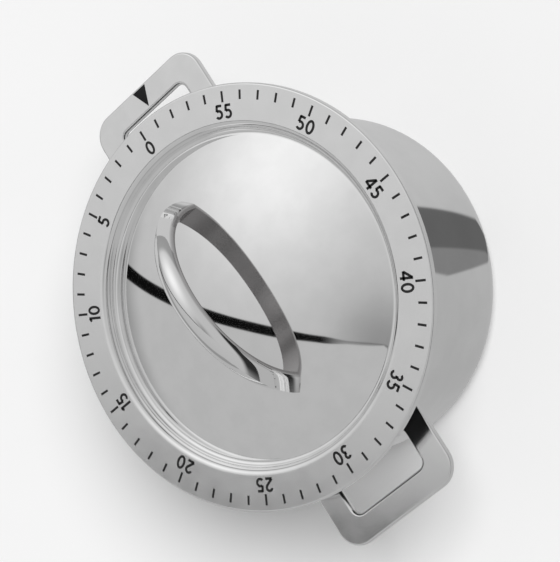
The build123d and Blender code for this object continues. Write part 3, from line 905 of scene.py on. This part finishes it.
@dataclass
class Pot:
    """The still part: pot shell, two ears and the index mark."""

    radius: float = 30.7
    sheet: float = 0.5
    corner: float = 5.0
    rim_z: float = 35.2
    steps: int = 256
    ear_top: float = 29.7
    ear_thick: float = 1.4
    reach: float = 45.5
    half: float = 13.1
    ear_corner: float = 4.3
    edge: float = 0.35
    slot_half: float = 8.2
    slot_in: float = 33.0
    slot_out: float = 40.6
    slot_edge: float = 0.65
    slot_corner: float = 1.5
    corner_steps: int = 12
    mark_half: float = 1.6
    mark_base: float = 45.15
    mark_tip: float = 41.4
    mark_film: float = 0.015
    mark_deep: float = 0.2

    def shell(self) -> bpy.types.Object:
        """The drawn pot with its rolled bottom corner and rim."""
        centre = (self.radius - self.corner, self.corner)
        rim = (self.radius - self.sheet / 2, self.rim_z - self.sheet / 2)
        section = [(0, 0), (centre[0] - 0.05, 0)]
        section += arc(centre, self.corner, -90, 90, 20)
        section += [(self.radius, self.corner + 0.05), (self.radius, rim[1] - 0.05)]
        section += arc(rim, self.sheet / 2, 0, 180, 8)
        section += [(self.radius - self.sheet, self.corner + 0.05)]
        section += arc(centre, self.corner - self.sheet, 0, -90, 16)
        section += [(0, self.sheet)]
        blank = Blank().turned(section, self.steps)
        made = blank.piece("pot", POT_STEEL, Body.POT, Slot.SATIN_STEEL, ["pot_shell"])
        even_normals(made)
        return made

    def half_outline(self, blank: Blank) -> None:
        """Draws the half of an ear's face where x is positive, its corners rounded."""
        bm = blank.bm
        root_y = sqrt(self.radius**2 - self.half**2)
        corners = [
            (0, self.radius, 0),
            (self.half, root_y, 0),
            (self.half, self.reach, 0),
            (0, self.reach, 0),
            (0, self.slot_out, 0),
            (self.slot_half, self.slot_out, 0),
            (self.slot_half, self.slot_in, 0),
            (0, self.slot_in, 0),
        ]
        verts = blank.chain(corners, close=True)
        root = next(edge for edge in verts[0].link_edges if verts[1] in edge.verts)
        bmesh.ops.subdivide_edges(bm, edges=[root], cuts=self.corner_steps)
        for vert in bm.verts:
            if vert.co.y < self.radius + TINY:
                vert.co.y = sqrt(self.radius**2 - vert.co.x**2)
        for size, places in (
            (self.ear_corner, corners[2:3]),
            (self.slot_corner, corners[5:7]),
        ):
            chosen = [
                vert
                for vert in bm.verts
                if any((vert.co - Vector(place)).length < 1e-3 for place in places)
            ]
            bmesh.ops.bevel(
                bm,
                geom=chosen,
                offset=size,
                affect="VERTICES",
                segments=self.corner_steps,
                profile=0.5,
                material=-1,
            )
        bmesh.ops.contextual_create(bm, geom=bm.edges[:])

    def in_slot(self, edge: bmesh.types.BMEdge) -> bool:
        """Whether an edge of an ear lies on its slot's outline."""
        middle = (edge.verts[0].co + edge.verts[1].co) / 2
        near = self.slot_edge / 2
        beside = abs(middle.x) < self.slot_half + near
        return beside and self.slot_in - near < middle.y < self.slot_out + near

    def ear(self, name: str, node: str, turn: float) -> bpy.types.Object:
        """One flat loop with rounded edges.

        Args:
            name: the piece's name.
            node: the CAD node that it stands for.
            turn: how far it is turned about the axis, in degrees.

        Returns:
            The ear.
        """
        blank = Blank()
        bm = blank.bm
        self.half_outline(blank)
        whole = bm.verts[:] + bm.edges[:] + bm.faces[:]
        bmesh.ops.mirror(bm, geom=whole, axis="X", merge_dist=1e-3)
        bmesh.ops.translate(bm, verts=bm.verts, vec=(0, 0, self.ear_top - self.ear_thick))
        blank.thicken(self.ear_thick)
        rims = [
            edge
            for edge in bm.edges
            if edge.calc_face_angle(0) > CORNER_ANGLE
            and abs(edge.verts[0].co.z - edge.verts[1].co.z) < TINY
        ]
        for inside, size in ((True, self.slot_edge), (False, self.edge)):
            chosen = [edge for edge in rims if edge.is_valid and self.in_slot(edge) == inside]
            blank.round_edges(chosen, size, 6)
        about = Matrix.Rotation(radians(turn), 3, "Z")
        bmesh.ops.rotate(bm, verts=bm.verts, cent=(0, 0, 0), matrix=about)
        made = blank.piece(name, EAR_STEEL, Body.POT, Slot.POLISHED_STEEL, [node])
        even_normals(made)
        return made

    def mark(self) -> bpy.types.Object:
        """The index triangle in black enamel, a film's thickness proud of its ear."""
        blank = Blank()
        foot = self.ear_top - self.mark_deep
        points = [
            (-self.mark_half, self.mark_base, foot),
            (0, self.mark_tip, foot),
            (self.mark_half, self.mark_base, foot),
        ]
        blank.chain(points, close=True)
        bmesh.ops.contextual_create(blank.bm, geom=blank.bm.edges[:])
        blank.thicken(self.mark_deep + self.mark_film)
        top = [edge for edge in blank.bm.edges if min(v.co.z for v in edge.verts) > self.ear_top]
        blank.round_edges(top, self.mark_film / 2, 2)
        return blank.piece("index_mark", ENAMEL, Body.POT, Slot.BLACK_ENAMEL, ["pointer_mark"])


# ----------------------------------------------------------------------- movement


@dataclass
class Movement:
    """The clockwork and the fittings inside, kept from the CAD with made finishes."""

    bell_nodes: Tuple[str, ...] = ("bell",)

    def finish_for(self, node: str, slot: str) -> Finish:
        """The finish of one CAD node, from its slot in the record."""
        if node in self.bell_nodes:
            return BELL_STEEL
        return {
            Slot.POLISHED_STEEL.value: MIRROR,
            Slot.SATIN_STEEL.value: POT_STEEL,
            Slot.PLAIN_STEEL.value: MACHINED,
            Slot.SPRING_STEEL.value: BLUED,
            Slot.BRASS.value: BRASS,
            Slot.BLACK_PLASTIC.value: BLACK_PLASTIC,
            Slot.BLACK_ENAMEL.value: ENAMEL,
        }[slot]

    def dress(self) -> int:
        """Gives every CAD node its material and returns how many there are."""
        slots = {row["node"]: row["material_slot"] for row in frame["record"]["subparts"]}
        for node, made in frame["nodes"].items():
            material = self.finish_for(node, slots[node]).material()
            made.data.materials.clear()
            made.data.materials.append(material)
        return len(frame["nodes"])


# ------------------------------------------------------------------------- studio


@dataclass(frozen=True)
class Room:
    """What the polished steel mirrors: a wall with a window, a dark strip and a table.

    The strip is the dark edge between wall and table. It follows a circle about up,
    and a turn along it is measured in degrees from side towards front.
    """

    up: Colour = (0.6644, 0.7170, 0.2109)
    side: Colour = (-0.7441, 0.6084, 0.2761)
    front: Colour = (0.0696, -0.3404, 0.9377)
    strip_at: float = -0.0535
    strip_half: float = 0.0228
    strip_narrows: Tuple[Colour, ...] = ((54, 68, 0.0062), (69, 77, 0.009), (82, 90, 0.0072))
    strip_blur: float = 0.003
    strip_pales: Point = (68, 76)
    strip_paler: float = 0.55
    strip_light: float = 0.004
    wall: float = 0.48
    wall_edge: float = 0.002
    window: Colour = (0, 0.643, 0.766)
    window_light: float = 0.42
    window_falls: float = 9
    dusk: Colour = (-0.01, -0.309, 0.951)
    dusk_depth: float = 0.21
    dusk_falls: float = 45
    table: float = 0.45
    table_rises: float = 0.02
    table_near: float = -0.6
    low: Point = (0.36, 0.2)
    low_depth: float = 0.4
    corner: Colour = (0.873, -0.488, 0)
    corner_edge: Point = (0.55, 0.85)
    corner_depth: float = 0.55

    def lean(self, shade: Shade, way: Feed, axis: Feed) -> Value:
        """How far a direction leans towards an axis, from -1 to 1."""
        node = shade.node("VectorMath", {"operation": "DOT_PRODUCT"}, {0: way, 1: axis})
        return Value(shade, node.outputs["Value"])

    def light(self, shade: Shade, way: bpy.types.NodeSocket) -> Value:
        """How bright the room is in a direction."""
        up = self.lean(shade, way, self.up) - self.strip_at
        side = self.lean(shade, way, self.side)
        front = self.lean(shade, way, self.front)
        turn = front.maths("ARCTAN2", front, side) * (180 / pi)
        half: Number = self.strip_half
        for start, end, less in self.strip_narrows:
            half = half - turn.rise(start, end) * less
        strip = (half - abs(up)).rise(-self.strip_blur, self.strip_blur)
        depth = 1 - turn.rise(*self.strip_pales) * self.strip_paler
        above = up.rise(-self.wall_edge, self.wall_edge)
        window = ((self.lean(shade, way, self.window) - 1) * self.window_falls).exp()
        dusk = ((self.lean(shade, way, self.dusk) - 1) * self.dusk_falls).exp()
        wall = self.wall + window * self.window_light - dusk * self.dusk_depth
        table = self.table + up.rise(self.table_near, 0) * self.table_rises
        seen = table + above * (wall - table)
        seen = seen * (1 - strip * depth) + strip * self.strip_light
        low = self.lean(shade, way, AXIS).rise(*self.low)
        corner = self.lean(shade, way, self.corner).rise(*self.corner_edge)
        return seen * (1 - low * (corner * self.corner_depth + self.low_depth))


@dataclass(frozen=True)
class FloorShine:
    """The floor as the steel mirrors it, a painted reflection: grey, with a dark patch beside the
    pot and a painted shadow under the pointer ear.

    The patch ends at two slanting lines, each given by a point and a slope.
    """

    plain: float = 0.40
    plain_rises: float = 0.11
    plain_from: Point = (-40, 25)
    patch_across: Tuple[float, ...] = (28, 29, 52, 50)
    upper_line: Colour = (33, -6, 0.72)
    lower_line: Colour = (36, -21, 0.9)
    line_blur: float = 0.6
    patch: float = 0.115
    patch_foot: float = 0.09
    foot_from: Point = (-12.6, -13.6)
    shadow_at: Point = (-14, 33)
    shadow_long: float = 0.1
    shadow_falls: float = 0.02
    shadow_depth: float = 0.97
    shadow_from: Point = (20, 26)

    def light(self, shade: Shade, x: Value, y: Value) -> Value:
        """How bright the floor's painted reflection is at a place, in millimetres."""
        at_x, at_y, slope = self.upper_line
        upper = (y - at_y - (x - at_x) * slope).rise(self.line_blur, -self.line_blur)
        at_x, at_y, slope = self.lower_line
        past = at_x - x
        line = past.maths("MAXIMUM", past, 0) * -slope
        lower = (y - at_y + line).rise(-self.line_blur, self.line_blur)
        near, near_end, far, far_start = self.patch_across
        inside = x.rise(near, near_end) * x.rise(far, far_start)
        patch = upper * lower * inside
        grey = self.patch + y.rise(*self.foot_from) * self.patch_foot
        plain = self.plain + y.rise(*self.plain_from) * self.plain_rises
        # Painted shadow: the glow darkens beside the pot under the pointer ear.
        out_x, out_y = x - self.shadow_at[0], y - self.shadow_at[1]
        away = out_y * out_y + out_x * out_x * self.shadow_long
        shadow = (away * -self.shadow_falls).exp() * y.rise(*self.shadow_from)
        return (plain + patch * (grey - plain)) * (1 - shadow * self.shadow_depth)


@dataclass
class Studio:
    """Pale floor, soft light, the room that the steel mirrors, and the camera."""

    pale: float = 0.913
    fill: float = 0.42
    metal: float = 0.9
    floor_reach: float = 2.0
    floor_pale: Colour = (0.81, 0.81, 0.81)
    floor_dull: Colour = (0.79, 0.79, 0.79)
    key: float = 2.85
    key_spread: float = 32
    key_way: Colour = (0.73, -0.02, 1.0)
    lens: float = 153.35
    sensor: float = 36.0
    eye: Colour = (0.19877, -0.10855, 0.38047)
    eye_right: Colour = (0.67163, -0.51408, -0.53351)
    eye_up: Colour = (0.57341, 0.81668, -0.06507)
    eye_back: Colour = (0.46916, -0.26222, 0.84329)

    def camera(self) -> bpy.types.Object:
        """The camera, above the dial and to one side."""
        data = bpy.data.cameras.new("camera")
        data.lens, data.sensor_width = self.lens, self.sensor
        data.clip_start, data.clip_end = 0.01, 20
        made = bpy.data.objects.new("camera", data)
        turn = Matrix((self.eye_right, self.eye_up, self.eye_back)).transposed()
        made.matrix_world = Matrix.Translation(self.eye) @ turn.to_4x4()
        bpy.context.scene.collection.objects.link(made)
        bpy.context.scene.camera = made
        return made

    def room(self) -> None:
        """The world: a plain pale studio, with the room that polished steel shows."""
        world = bpy.data.worlds.new("studio")
        bpy.context.scene.world = world
        world.use_nodes = True
        shade = Shade(world.node_tree)
        seen = Room().light(shade, shade.node("TexCoord").outputs["Generated"])
        path = shade.node("LightPath")
        mirror = Value(shade, path.outputs["Is Glossy Ray"])
        eye = Value(shade, path.outputs["Is Camera Ray"])
        plain = eye * (self.pale - self.fill) + self.fill
        total = plain + mirror * (seen / self.metal - plain)
        back = shade.node("Background", None, {"Color": (1, 1, 1, 1), "Strength": total})
        shade.node("OutputWorld", None, {"Surface": back.outputs[0]})

    def floor(self) -> bpy.types.Object:
        """The pale floor, with painted reflection shapes on it that glow for the steel to mirror.
        """
        bm = bmesh.new()
        bmesh.ops.create_circle(bm, cap_ends=True, segments=96, radius=self.floor_reach)
        mesh = bpy.data.meshes.new("floor")
        bm.to_mesh(mesh)
        bm.free()
        made = bpy.data.objects.new("floor", mesh)
        bpy.context.scene.collection.objects.link(made)
        material = bpy.data.materials.new("floor")
        material.use_nodes = True
        shade = Shade(material.node_tree)
        x, y, _ = shade.axis_values(shade.place())
        x, y = x * (1 / MM), y * (1 / MM)
        low = shade.noise(30, 3.0)
        tint = shade.blend(low, self.floor_dull, self.floor_pale)
        paper = shade.node("BsdfDiffuse", None, {"Color": tint})
        # Painted reflection: the floor glows with this pattern for glossy rays only; the camera
        # sees the lit diffuse floor.
        seen = FloorShine().light(shade, x, y)
        shine = shade.node("Emission", None, {"Strength": seen / POT_STEEL.tint[0]})
        path = shade.node("LightPath")
        both = shade.node(
            "MixShader",
            None,
            {0: path.outputs["Is Glossy Ray"], 1: paper.outputs[0], 2: shine.outputs[0]},
        )
        shade.node("OutputMaterial", None, {"Surface": both.outputs[0]})
        mesh.materials.append(material)
        return made

    def lamp(self, name: str, strength: float, spread: float, way: Colour) -> None:
        """A broad soft light from far off.

        Args:
            name: the light's name.
            strength: how strong it is.
            spread: how wide it looks from the floor, in degrees.
            way: the direction that it stands in.
        """
        data = bpy.data.lights.new(name, "SUN")
        data.energy, data.angle = strength, radians(spread)
        made = bpy.data.objects.new(name, data)
        made.rotation_euler = Vector(way).to_track_quat("Z", "Y").to_euler()
        made.visible_glossy = False
        bpy.context.scene.collection.objects.link(made)

    def build(self) -> None:
        """Sets the whole studio up."""
        self.camera()
        self.room()
        self.floor()
        self.lamp("key", self.key, self.key_spread, self.key_way)
        bpy.context.scene.view_settings.view_transform = "Standard"


def main() -> None:
    """Builds each sub-assembly in turn and dresses it."""
    logging.basicConfig(level=logging.INFO, format="%(message)s")
    Studio().build()
    log.info("CAD nodes dressed: %d", Movement().dress())
    dial = Dial()
    makers: List[Callable[[], bpy.types.Object]] = [
        dial.cover,
        dial.ring,
        dial.minute_marks,
        dial.figures,
        Grip(dome=dial.dome, dome_centre=dial.dome_centre).build,
    ]
    pot = Pot()
    makers += [pot.shell, pot.mark]
    for make in makers:
        log.info("made %s", make().name)
    pot.ear("pointer_loop", "pointer_ear", 0)
    pot.ear("rear_loop", "rear_ear", 180)


if __name__ == "__main__":
    main()
